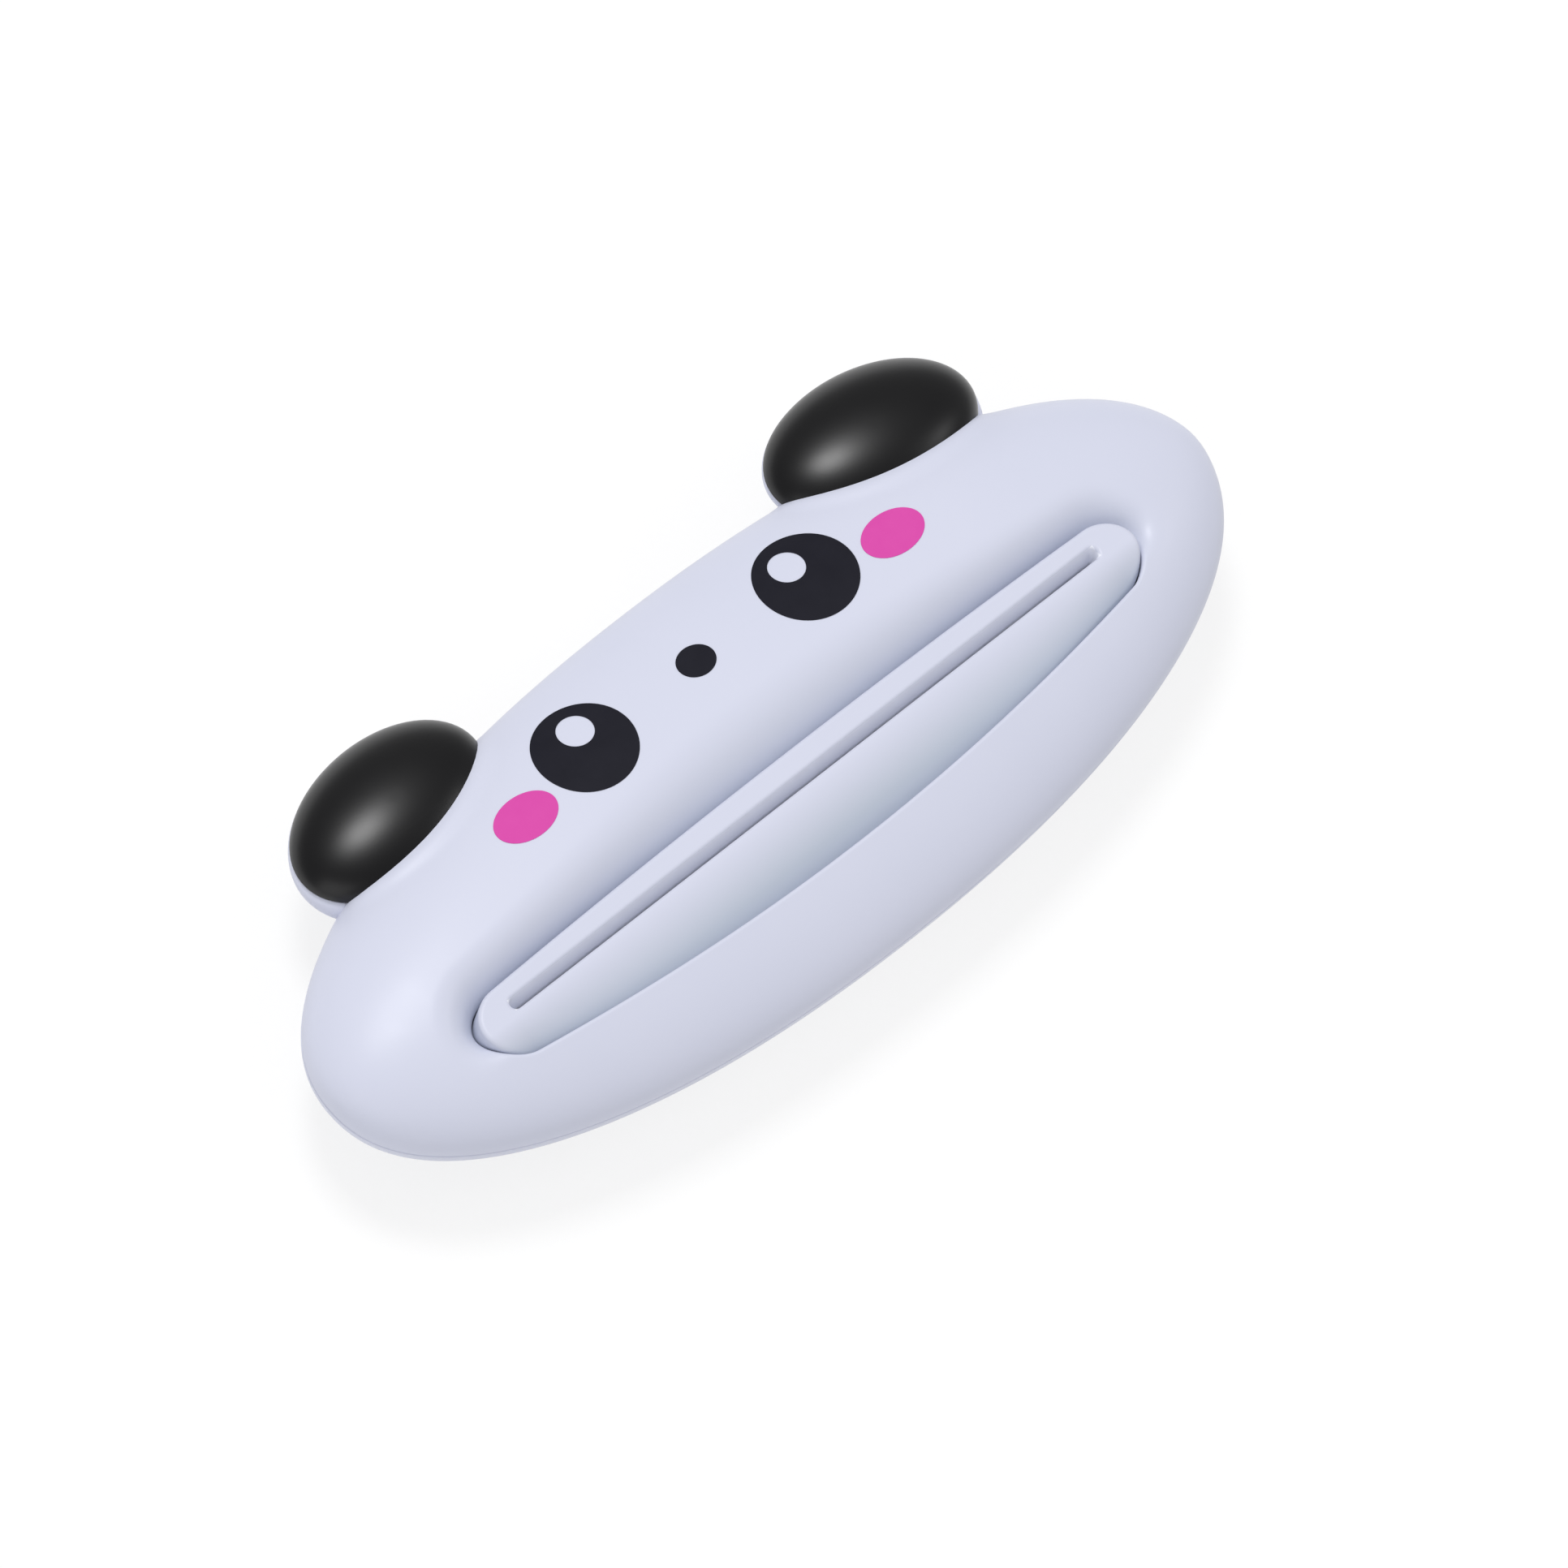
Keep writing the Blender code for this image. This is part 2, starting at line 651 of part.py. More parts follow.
def rear_block(name):
    """The rear half of the body, drawn in a little so that an ear's back overlaps its skin."""
    inset = RIM_LAND / 2

    def height(x, y):
        return -crown(x, y, REAR_DEPTH, inset, REAR_CROWN_POWER, REAR_SECTION_POWER)

    return block(name, inset, height, WALL)


def ear_back(side):
    """The white back of an ear with its flared root, joined to the shell's outer skin."""
    name = EAR_NAMES[side]
    mesh = lobe_mesh("ear_back_" + name, side, -1, EAR_BACK_DEPTH, ROOT_FLARE)
    back = guide("ear_back_" + name, mesh)
    combine(back, rear_block("rear_core_" + name), "DIFFERENCE")
    combine(back, front_block("front_core_" + name), "DIFFERENCE")
    return back


def peg_columns(side, name, radius):
    """The two upright pegs of an ear, or their holes."""
    high = PEG_RISE_SHARE * EAR_HALF_HEIGHT
    apart = PEG_SPREAD_SHARE * EAR_HALF_LENGTH
    spots = [ear_point(side, way * apart, high) for way in (-1, 1)]
    low = EAR_SEAM - PEG_DEPTH - (radius - PEG_RADIUS)
    return columns(name + "_" + EAR_NAMES[side], spots, radius, low, EAR_SEAM + EAR_DOME / 2)


def make_ear(side):
    """The black front of an ear, seated on the face and pegged to the ear's white back."""
    name = EAR_NAMES[side]
    ear = place(name + "_ear", lobe_mesh(name + "_ear", side, 1, EAR_DOME, 0.0))
    combine(ear, front_block("ear_seat_" + name), "DIFFERENCE")
    combine(ear, peg_columns(side, "pegs", PEG_RADIUS), "UNION")
    return finish(ear, EAR_BLACK, EAR_ROUGHNESS)


def print_line(x, y, half_wide, half_high):
    """An oval laid on the sloping face, drawn in where the slope would lengthen it."""
    step = CLEARANCE
    slope = (front_height(x, y + step) - front_height(x, y - step)) / (2.0 * step)
    high = half_high / math.hypot(1.0, slope)
    turns = [2.0 * math.pi * i / PRINT_STEPS for i in range(PRINT_STEPS)]
    return [(x + half_wide * math.cos(t), y + high * math.sin(t)) for t in turns]


def print_under(x, y):
    return front_height(x, y) + CLEARANCE


def print_over(x, y):
    return print_under(x, y) + PRINT_THICKNESS


def make_eye(side):
    """A black disc with a round highlight left bare, up and towards the nose."""
    centre = (side * EYE_SPREAD, FACE_LINE)
    bare = (side * (EYE_SPREAD - HIGHLIGHT_INWARD), FACE_LINE + HIGHLIGHT_UP)
    outer = print_line(*centre, EYE_RADIUS, EYE_RADIUS)
    inner = print_line(*bare, HIGHLIGHT_RADIUS, HIGHLIGHT_RADIUS)
    middle = between(inner, outer, 0.5)
    rings = [raised(line, print_over) for line in (inner, middle, outer)]
    rings += [raised(line, print_under) for line in (outer, middle, inner)]
    name = EAR_NAMES[side] + "_eye"
    return finish(place(name, fill(name, rings, True)), PRINT_BLACK, PRINT_ROUGHNESS)


def make_oval(name, x, y, half_wide, half_high, colour):
    """A plain printed oval."""
    outer = print_line(x, y, half_wide, half_high)
    core = between([(x, y)] * PRINT_STEPS, outer, PRINT_CORE_SHARE)
    rings = [raised(line, print_over) for line in (core, outer)]
    rings += [raised(line, print_under) for line in (outer, core)]
    return finish(place(name, fill(name, rings, False)), colour, PRINT_ROUGHNESS)


def make_cheek(side):
    name = EAR_NAMES[side] + "_cheek"
    level = FACE_LINE - CHEEK_DROP
    spread = side * CHEEK_SPREAD
    return make_oval(name, spread, level, CHEEK_HALF_WIDTH, CHEEK_HALF_HEIGHT, PRINT_PINK)


def main():
    for thing in list(bpy.data.objects):
        bpy.data.objects.remove(thing)
    make_front_shell()
    make_rear_shell()
    make_slot_throat()
    make_oval("nose", 0.0, FACE_LINE, NOSE_HALF_WIDTH, NOSE_HALF_HEIGHT, PRINT_BLACK)
    for side in (-1, 1):
        make_ear(side)
        make_eye(side)
        make_cheek(side)


main()
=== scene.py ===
import math

import bmesh
import bpy
from mathutils import Matrix, Vector


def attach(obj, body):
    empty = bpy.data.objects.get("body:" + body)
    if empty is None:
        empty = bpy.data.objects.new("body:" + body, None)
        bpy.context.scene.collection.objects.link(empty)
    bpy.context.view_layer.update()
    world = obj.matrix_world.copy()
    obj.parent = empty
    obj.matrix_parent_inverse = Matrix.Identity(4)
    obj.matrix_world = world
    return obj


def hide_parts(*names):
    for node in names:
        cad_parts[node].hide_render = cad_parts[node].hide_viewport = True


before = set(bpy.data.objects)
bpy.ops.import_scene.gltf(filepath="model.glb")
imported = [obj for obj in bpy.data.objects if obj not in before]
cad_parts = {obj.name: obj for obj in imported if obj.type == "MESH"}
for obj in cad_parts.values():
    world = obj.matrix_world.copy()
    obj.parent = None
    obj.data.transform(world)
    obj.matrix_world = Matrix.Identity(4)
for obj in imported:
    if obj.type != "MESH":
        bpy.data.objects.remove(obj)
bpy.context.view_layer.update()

# Sizes of the part, in metres, as its source has them. First the slot and the narrow gap in it
SLOT_HALF_LENGTH = 0.0313
SLOT_HALF_WIDTH = 0.0005
SLOT_DROP = 0.00316
SLOT_HEIGHT = 0.0056
SLOT_ROUND = 0.0003
SQUEEZE_HALF_WIDTH = 0.00025
SQUEEZE_DEPTH = 0.0016

# The mouth, the tongue in it, the lower lip and the rolled-in upper wall
MOUTH_MARGIN = 0.0034
MOUTH_END = 0.0030
MOUTH_ABOVE = 0.0026
MOUTH_BELOW = 0.0065
MOUTH_TOP_BOW = 0.00065
MOUTH_LOW_BOW = 0.0031
EDGE_ROUND = 0.00035
TONGUE_RISE = 0.0022
TONGUE_FLAT_BELOW = 0.0010
TONGUE_FALL_POWER = 1.7
LIP_STEP = 0.0030
LIP_DEPTH = 0.0015
LIP_BACK_WIDTH = 0.0030
LIP_END_SHARE = 0.5
LIP_FADE_SHARE = 0.6
ROLL_WIDTH = 0.0060
ROLL_POWER = 2.2
ROLL_END_SHARE = 0.6
ROLL_FADE_HIGH_SHARE = 0.6

# The body, a pebble of two shells that meet at the seam, where the height is zero
BODY_MARGIN = 0.0113
BODY_HALF_WIDTH = 0.017
FRONT_DEPTH = 0.0066
REAR_DEPTH = 0.011
REST_DEPTH = 0.0088
WALL = 0.0018
OUTLINE_POWER = 2.18
FRONT_CROWN_POWER = 3.5
REAR_CROWN_POWER = 2.0
SECTION_POWER = 2.0

# The throat under the tongue, its funnel, and the groove and rails of the back
THROAT_WALL = 0.0013
FLANGE_WIDTH = 0.0012
FLANGE_THICKNESS = 0.0012
FUNNEL_HALF_WIDTH = 0.0013
FUNNEL_DEPTH = 0.0025
TROUGH_HALF_WIDTH = 0.0046
TROUGH_DEPTH = 0.0020
TROUGH_FLOOR_SHARE = 0.7
RAIL_RISE = 0.0003
UPPER_RAIL_HALF_WIDTH = 0.0016
LOWER_RAIL_HALF_WIDTH = 0.0008
UPPER_RAIL_SHARE = 0.42
LOWER_RAIL_SHARE = 0.25

# The ears, black fronts on white backs
EAR_SPREAD_SHARE = 0.56
EAR_RISE = 0.0012
EAR_SEAM = 0.0010
EAR_HALF_LENGTH = 0.0095
EAR_HALF_HEIGHT = 0.00605
EAR_DOME = 0.0034
EAR_BACK_DEPTH = 0.0044
EAR_TILT = math.radians(6.5)
EAR_LEAN = 0.13
ROOT_FLARE = 0.0021
ROOT_TURN = math.radians(-48)
ROOT_POWER = 3.0

# The printed face
FACE_LINE_SHARE = 0.553
EYE_RADIUS = 0.00423
EYE_GAP = 0.00589
HIGHLIGHT_RADIUS = 0.0015
HIGHLIGHT_INWARD = 0.0005
HIGHLIGHT_UP = 0.00158
NOSE_HALF_WIDTH = 0.00168
NOSE_HALF_HEIGHT = 0.00148
CHEEK_GAP = 0.0007
CHEEK_HALF_WIDTH = 0.00287
CHEEK_HALF_HEIGHT = 0.00201
CHEEK_DROP = 0.00155

# Where the rolled-in wall ends below the mouth's middle. It is -0.5 in the source, and the photograph's
# shading round the mouth's ends asks for a little more
ROLL_FADE_LOW_SHARE = -0.8

# Finer than the solids: hairline seams, soft edges, an ink film, and a bead of white round the ears
SEAM_HALF = 0.00003
SEAM_STEP = 0.00055
SEAM_LIP = 0.00008
MOUTH_GAP = 0.00009
BACK_ROUND = 0.0005
BEAD_HEIGHT = 0.00038
BEAD_WIDTH = 0.0011
FILM_LIFT = 0.00001
FILM_THICKNESS = 0.00003

# Depths at which the painted shade on the face beside the mouth and on the tongue is darkest
ROLL_FULL_SHADE_DEPTH = 0.0060
TONGUE_FULL_SHADE_DEPTH = 0.0016

# How finely the outlines are divided, and the shares at which inner rings start
SIDE_STEPS = 96
END_STEPS = 48
ROUND_STEPS = 6
FACE_STEPS = 72
TONGUE_STEPS = 26
BACK_STEPS = 64
INNER_STEPS = 8
EAR_STEPS = 120
LOBE_STEPS = 26
PRINT_STEPS = 96
FILM_STEPS = 12
CORE_STEPS = 20
BODY_SIDE_SHARE = 0.8
FILM_CORE_SHARE = 0.04
REAR_CORE_SHARE = 0.3

CREASE_ANGLE = math.radians(32)
SIDE_NAMES = {-1: "left", 1: "right"}
TINY = 1e-6

# Sizes that follow from those above
MOUTH_HALF_LENGTH = SLOT_HALF_LENGTH + MOUTH_MARGIN
BODY_HALF_LENGTH = MOUTH_HALF_LENGTH + BODY_MARGIN
EAR_SPREAD = BODY_HALF_LENGTH * EAR_SPREAD_SHARE
FACE_LINE = BODY_HALF_WIDTH * FACE_LINE_SHARE
TROUGH_FLOOR = TROUGH_DEPTH - REST_DEPTH
LAND_DEPTH = REST_DEPTH - RAIL_RISE
SLOT_HALF_STRAIGHT = SLOT_HALF_LENGTH - SLOT_HALF_WIDTH
MOUTH_HALF_STRAIGHT = MOUTH_HALF_LENGTH - MOUTH_END
THROAT_HALF_WIDTH = SLOT_HALF_WIDTH + THROAT_WALL
MOAT_HEIGHT = SLOT_HEIGHT - TONGUE_RISE
TONGUE_UNDERSIDE = SLOT_HEIGHT - 2 * LIP_STEP
EYE_SPREAD = NOSE_HALF_WIDTH + EYE_GAP + EYE_RADIUS
CHEEK_SPREAD = EYE_SPREAD + EYE_RADIUS + CHEEK_GAP + CHEEK_HALF_WIDTH


def smooth(share):
    """Runs from 0 to 1 with a level start and end."""
    share = min(max(share, 0.0), 1.0)
    return share * share * (3.0 - 2.0 * share)


def mix(a, b, share):
    """The point or number at a share of the way from a to b."""
    if isinstance(a, tuple):
        return tuple(mix(p, q, share) for p, q in zip(a, b))
    return a + (b - a) * share


def arch(share, power):
    """A rounded arch: 1 at the middle, 0 at a share of 1."""
    return max(1.0 - min(abs(share), 1.0) ** power, 0.0) ** (1.0 / power)


def soft_max(a, b, width):
    """The larger of two heights, rounded over where they cross."""
    blend = max(width - abs(a - b), 0.0) / width
    return max(a, b) + blend * blend * width / 4.0


def half_width(x, inset=0.0):
    """Half the body's width at x, on an outline drawn in by inset."""
    return (BODY_HALF_WIDTH - inset) * arch(x / (BODY_HALF_LENGTH - inset), OUTLINE_POWER)


def crown(x, y, depth, inset, crown_power):
    """Height of a rounded half of the body over the seam."""
    width = half_width(x, inset)
    if width <= 0.0:
        return 0.0
    top = (depth - inset) * arch(x / (BODY_HALF_LENGTH - inset), crown_power)
    return top * arch(y / width, SECTION_POWER)


def mouth_top(x):
    """The mouth's upper edge at x."""
    return MOUTH_ABOVE - SLOT_DROP - MOUTH_TOP_BOW * (x / MOUTH_HALF_LENGTH) ** 2


def mouth_low(x):
    """The mouth's lower edge at x, which bows like a smile."""
    return MOUTH_LOW_BOW * (x / MOUTH_HALF_LENGTH) ** 2 - MOUTH_BELOW - SLOT_DROP


def past_mouth(x, y):
    """How far a place is outside the mouth, and its share across: 1 at the top, -1 at the lip."""
    near = min(max(x, -MOUTH_HALF_STRAIGHT), MOUTH_HALF_STRAIGHT)
    middle = mix(mouth_low(near), mouth_top(near), 0.5)
    half = mix(mouth_top(near), -mouth_low(near), 0.5)
    across = y - middle
    along = x - near
    scale = math.hypot(along / MOUTH_END, across / half)
    reach = math.hypot(along, across)
    away = reach - reach / scale if scale > 1.0 else 0.0
    return away, across / half


def towards_end(x, share):
    """Runs from 1 in the middle of the mouth to the share at its ends."""
    return mix(1.0, share, smooth(abs(x) / MOUTH_HALF_LENGTH))


def roll_in(x, y):
    """How far the face sinks from its crown to the upper edge of the mouth."""
    away, across = past_mouth(x, y)
    span = ROLL_FADE_HIGH_SHARE - ROLL_FADE_LOW_SHARE
    upper = smooth((across - ROLL_FADE_LOW_SHARE) / span)
    width = ROLL_WIDTH * towards_end(x, ROLL_END_SHARE)
    fall = max(1.0 - away / width, 0.0) ** ROLL_POWER
    above = crown(x, y, FRONT_DEPTH, 0.0, FRONT_CROWN_POWER) - MOAT_HEIGHT
    return max(above, 0.0) * fall * upper


def lip_depth(x, y):
    """How much thicker the face is behind the lower lip, where the tongue lies deepest."""
    away, across = past_mouth(x, y)
    lower = smooth(-across / LIP_FADE_SHARE) * towards_end(x, LIP_END_SHARE)
    return LIP_DEPTH * lower * smooth((LIP_BACK_WIDTH - away) / (LIP_BACK_WIDTH - FLANGE_WIDTH))


def ear_middle():
    return half_width(EAR_SPREAD) + EAR_RISE


def bead(x, y, z):
    """The low white bead on the face that each ear's black front sits in."""
    side = math.copysign(1.0, x)
    turn = -side * EAR_TILT
    dx = x - side * EAR_SPREAD
    dy = y - ear_middle()
    a = dx * math.cos(turn) + dy * math.sin(turn)
    b = dy * math.cos(turn) - dx * math.sin(turn)
    level = z - EAR_SEAM + EAR_LEAN * b
    spans = ((a, EAR_HALF_LENGTH), (b, EAR_HALF_HEIGHT), (level, EAR_DOME))
    size = math.sqrt(sum((part / span) ** 2 for part, span in spans))
    slope = math.sqrt(sum((part / span ** 2) ** 2 for part, span in spans)) / max(size, TINY)
    away = (size - 1.0) / max(slope, TINY)
    return BEAD_HEIGHT * smooth(1.0 - max(away, 0.0) / BEAD_WIDTH)


def plain_height(x, y, inset=0.0):
    """Height of the face over the seam, or of its inside at an inset of the wall."""
    return crown(x, y, FRONT_DEPTH, inset, FRONT_CROWN_POWER) - roll_in(x, y)


def face_height(x, y):
    """Height of the face with the beads at the ears."""
    height = plain_height(x, y)
    return height + bead(x, y, height) * smooth(height / BEAD_WIDTH)


def inside_front(x, y):
    return plain_height(x, y, WALL) - lip_depth(x, y)


def tongue_height(x, y):
    """The tongue is level round the slot and falls away to the crease under the lower lip."""
    near = min(max(x, -MOUTH_HALF_STRAIGHT), MOUTH_HALF_STRAIGHT)
    low = mouth_low(near)
    flat_end = -SLOT_DROP - TONGUE_FLAT_BELOW
    fall = max((flat_end - y) / (flat_end - low), 0.0)
    step = LIP_STEP * towards_end(near, LIP_END_SHARE)
    drop = SLOT_HEIGHT - plain_height(near, low) + step
    return SLOT_HEIGHT - drop * fall ** TONGUE_FALL_POWER


def tongue_underside(x, y):
    return min(TONGUE_UNDERSIDE, tongue_height(x, y) - FLANGE_THICKNESS)


def slot_distance(x, y):
    """How far a place is from the slot's centre line."""
    return math.hypot(max(abs(x) - SLOT_HALF_STRAIGHT, 0.0), y + SLOT_DROP)


def rear_height(x, y):
    """Height of the back: a dome with a level land and the groove that leads to the funnel."""
    dome = -crown(x, y, REAR_DEPTH, 0.0, REAR_CROWN_POWER)
    land = soft_max(dome, -LAND_DEPTH, BACK_ROUND)
    slope = TROUGH_HALF_WIDTH * (1.0 - TROUGH_FLOOR_SHARE)
    steps = (slot_distance(x, y) - TROUGH_HALF_WIDTH + slope) / slope
    wall = TROUGH_FLOOR - TROUGH_DEPTH * max(steps, 0.0)
    groove = -soft_max(-TROUGH_FLOOR, -wall, BACK_ROUND)
    return soft_max(land, groove, BACK_ROUND)


def inside_rear(x, y):
    """The back's inside, which keeps a wall over the land and over the groove."""
    away = slot_distance(x, y) / TROUGH_HALF_WIDTH
    trough = TROUGH_DEPTH * smooth((1.0 - away) / (1.0 - TROUGH_FLOOR_SHARE))
    depth = crown(x, y, REAR_DEPTH, WALL, REAR_CROWN_POWER)
    return -min(depth, LAND_DEPTH - WALL - trough)


def stations():
    """Places round a long outline, anticlockwise from the front: along, end and across shares."""
    places = [(1.0 - 2.0 * i / SIDE_STEPS, 0.0, 1.0) for i in range(SIDE_STEPS)]
    turns = [math.pi * (0.5 + i / END_STEPS) for i in range(END_STEPS)]
    places += [(-1.0, math.cos(turn), math.sin(turn)) for turn in turns]
    return places + [(-along, -end, -across) for along, end, across in places]


STATIONS = stations()


def slot_line(width, drop=SLOT_DROP):
    """An outline at a half width round the slot, with round ends."""
    return [
        (along * SLOT_HALF_STRAIGHT + end * width, across * width - drop)
        for along, end, across in STATIONS
    ]


def squeeze_line():
    """The narrow gap that presses the tube, against the slot's lower side."""
    return slot_line(SQUEEZE_HALF_WIDTH, SLOT_DROP + SLOT_HALF_WIDTH - SQUEEZE_HALF_WIDTH)


def mouth_line(outset=0.0):
    """The mouth's outline, or one drawn out from it."""
    line = []
    for along, end, across in STATIONS:
        x = along * MOUTH_HALF_STRAIGHT + end * MOUTH_END
        middle = mix(mouth_low(x), mouth_top(x), 0.5)
        half = mix(mouth_top(x), -mouth_low(x), 0.5)
        line.append((x + end * outset, middle + across * (half + outset)))
    return line


def body_line(inset=0.0):
    """The body's outline, or one drawn in from it."""
    side = (BODY_HALF_LENGTH - inset) * BODY_SIDE_SHARE
    tip = (BODY_HALF_LENGTH - inset) - side
    line = []
    for along, end, across in STATIONS:
        x = along * side + end * tip
        line.append((x, math.copysign(half_width(x, inset), across)))
    return line


def between(inner, outer, share):
    return [mix(a, b, share) for a, b in zip(inner, outer)]


def raised(line, height):
    """The outline as points, at a fixed height or at the height of a surface."""
    if callable(height):
        return [(x, y, height(x, y)) for x, y in line]
    return [(x, y, height) for x, y in line]


def rounding():
    """Shares across and down a rounded edge, from its side to its top."""
    turns = [math.pi / 2 * i / ROUND_STEPS for i in range(ROUND_STEPS)]
    return [(1.0 - math.cos(turn), 1.0 - math.sin(turn)) for turn in turns]


def waves(count):
    """Shares from 0 to 1, close together at both ends."""
    return [(1.0 - math.cos(math.pi * i / count)) / 2.0 for i in range(1, count + 1)]


def fill(name, rings, ring_closed=True):
    """A mesh through rings of points, whose ends meet each other or have a cap each."""
    bm = bmesh.new()
    rows = [[bm.verts.new(point) for point in ring] for ring in rings]
    pairs = list(zip(rows, rows[1:]))
    if ring_closed:
        pairs.append((rows[-1], rows[0]))
    for low, high in pairs:
        for i in range(len(low)):
            j = (i + 1) % len(low)
            bm.faces.new((low[i], low[j], high[j], high[i]))
    if not ring_closed:
        bm.faces.new(rows[0])
        bm.faces.new(rows[-1])
    bmesh.ops.recalc_face_normals(bm, faces=bm.faces)
    mesh = bpy.data.meshes.new(name)
    bm.to_mesh(mesh)
    bm.free()
    return mesh


def mark_hollow(mesh, share_at):
    """Writes on each point of a mesh how deep in a hollow it lies, from 0 to 1, which sets how much
    painted shade it gets.
    """
    layer = mesh.attributes.new("hollow", "FLOAT", "POINT")
    for point, mark in zip(mesh.vertices, layer.data):
        mark.value = min(max(share_at(*point.co), 0.0), 1.0)
    return mesh


def footprint_middle():
    """The middle of the part's width, from the lower edge of the body to the top of the ears."""
    reach = math.hypot(
        EAR_HALF_HEIGHT * math.cos(EAR_TILT), EAR_HALF_LENGTH * math.sin(EAR_TILT)
    )
    return mix(ear_middle() + reach, -BODY_HALF_WIDTH, 0.5)


ORIGIN = Vector((0.0, -footprint_middle(), REST_DEPTH))


def place(name, mesh):
    """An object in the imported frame, from a mesh made about the middle of the body."""
    mesh.transform(Matrix.Translation(ORIGIN))
    thing = bpy.data.objects.new(name, mesh)
    bpy.context.scene.collection.objects.link(thing)
    return thing


def twin(thing):
    """A copy of an object that shares its mesh."""
    copy = thing.copy()
    bpy.context.scene.collection.objects.link(copy)
    return copy


def carve(part, tools):
    """Adds each tool's solid to the part or cuts it away, and removes the tool."""
    for tool, operation in tools:
        step = part.modifiers.new(tool.name, "BOOLEAN")
        step.operation = operation
        step.solver = "EXACT"
        step.object = tool
    depsgraph = bpy.context.evaluated_depsgraph_get()
    mesh = bpy.data.meshes.new_from_object(part.evaluated_get(depsgraph))
    part.modifiers.clear()
    part.data = mesh
    for tool, _ in tools:
        bpy.data.objects.remove(tool)


def show(part, node, material):
    """The piece stands for a solid of the part, with its own material."""
    part.data.materials.clear()
    part.data.materials.append(material)
    part.data.shade_smooth()
    part.data.set_sharp_from_angle(angle=CREASE_ANGLE)
    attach(part, "root")
    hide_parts(node)


def face_rings():
    """The outside of the face, from the wall of the mouth to the seam."""
    rings = []
    for across, down in rounding():
        edge = mouth_line(EDGE_ROUND * across)
        rings.append(raised(edge, lambda x, y: plain_height(x, y) - EDGE_ROUND * down))
    start = mouth_line(EDGE_ROUND)
    outline = body_line()
    rings.append(raised(start, face_height))
    floor = SEAM_HALF + SEAM_LIP
    for share in waves(FACE_STEPS):
        ring = between(start, outline, share)
        rings.append(raised(ring, lambda x, y: max(face_height(x, y), floor)))
    return rings


def front_mesh():
    rings = face_rings()
    rings.append(raised(body_line(SEAM_LIP), SEAM_HALF))
    rings.append(raised(body_line(SEAM_STEP), SEAM_HALF))
    rings.append(raised(body_line(SEAM_STEP), -SEAM_STEP))
    inside = body_line(WALL)
    rings.append(raised(inside, -SEAM_STEP))
    flange = mouth_line(FLANGE_WIDTH)
    for share in waves(INNER_STEPS):
        rings.append(raised(between(inside, flange, share), inside_front))
    rings.append(raised(mouth_line(), inside_front))
    mesh = fill("face_skin", rings)
    return mark_hollow(mesh, lambda x, y, z: roll_in(x, y) / ROLL_FULL_SHADE_DEPTH)


def front_solid():
    """The space that the face fills, without its hollow, to seat the ears on."""
    rings = face_rings()
    rings.append(raised(body_line(), -EAR_BACK_DEPTH))
    rings.append(raised(mouth_line(), -EAR_BACK_DEPTH))
    return place("front_solid", fill("front_solid", rings))


def insert_mesh():
    """The tongue with its slot, the throat below it and the funnel at the back."""
    rings = []
    for across, down in rounding():
        edge = slot_line(SLOT_HALF_WIDTH + SLOT_ROUND * across)
        rings.append(raised(edge, SLOT_HEIGHT - SLOT_ROUND * down))
    start = slot_line(SLOT_HALF_WIDTH + SLOT_ROUND)
    rim = mouth_line(-MOUTH_GAP - EDGE_ROUND)
    rings.append(raised(start, tongue_height))
    for i in range(TONGUE_STEPS):
        rings.append(raised(between(start, rim, (i + 1) / TONGUE_STEPS), tongue_height))
    for across, down in reversed(rounding()):
        edge = mouth_line(-MOUTH_GAP - EDGE_ROUND * across)
        rings.append(raised(edge, lambda x, y: tongue_height(x, y) - EDGE_ROUND * down))
    side = mouth_line(-MOUTH_GAP)
    throat = slot_line(THROAT_HALF_WIDTH)
    rings.append(raised(side, tongue_underside))
    rings.append(raised(throat, tongue_underside))
    rings.append(raised(throat, TROUGH_FLOOR + SLOT_ROUND))
    for across, down in reversed(rounding()):
        edge = slot_line(THROAT_HALF_WIDTH - SLOT_ROUND * (1.0 - down))
        rings.append(raised(edge, TROUGH_FLOOR + SLOT_ROUND * across))
    rings.append(raised(slot_line(FUNNEL_HALF_WIDTH), TROUGH_FLOOR))
    rings.append(raised(slot_line(SLOT_HALF_WIDTH), TROUGH_FLOOR + FUNNEL_DEPTH))
    rings.append(raised(squeeze_line(), SLOT_HEIGHT - SQUEEZE_DEPTH - SLOT_ROUND))
    rings.append(raised(squeeze_line(), SLOT_HEIGHT - SQUEEZE_DEPTH))
    mesh = fill("tongue_skin", rings)
    return mark_hollow(mesh, lambda x, y, z: (SLOT_HEIGHT - z) / TONGUE_FULL_SHADE_DEPTH)


def rear_mesh():
    """The back's shell, open round the throat."""
    opening = slot_line(THROAT_HALF_WIDTH + MOUTH_GAP)
    outline = body_line()
    rings = [raised(opening, rear_height)]
    floor = -SEAM_HALF - SEAM_LIP
    for share in waves(BACK_STEPS):
        ring = between(opening, outline, share)
        rings.append(raised(ring, lambda x, y: min(rear_height(x, y), floor)))
    rings.append(raised(body_line(SEAM_LIP), -SEAM_HALF))
    rebate = body_line(SEAM_STEP - MOUTH_GAP)
    rings.append(raised(rebate, -SEAM_HALF))
    rings.append(raised(rebate, -SEAM_STEP - MOUTH_GAP))
    inside = body_line(WALL)
    for share in [0.0] + waves(INNER_STEPS):
        ring = between(inside, opening, share)
        rings.append(raised(ring, lambda x, y: min(inside_rear(x, y), -SEAM_STEP - MOUTH_GAP)))
    return fill("back_skin", rings)


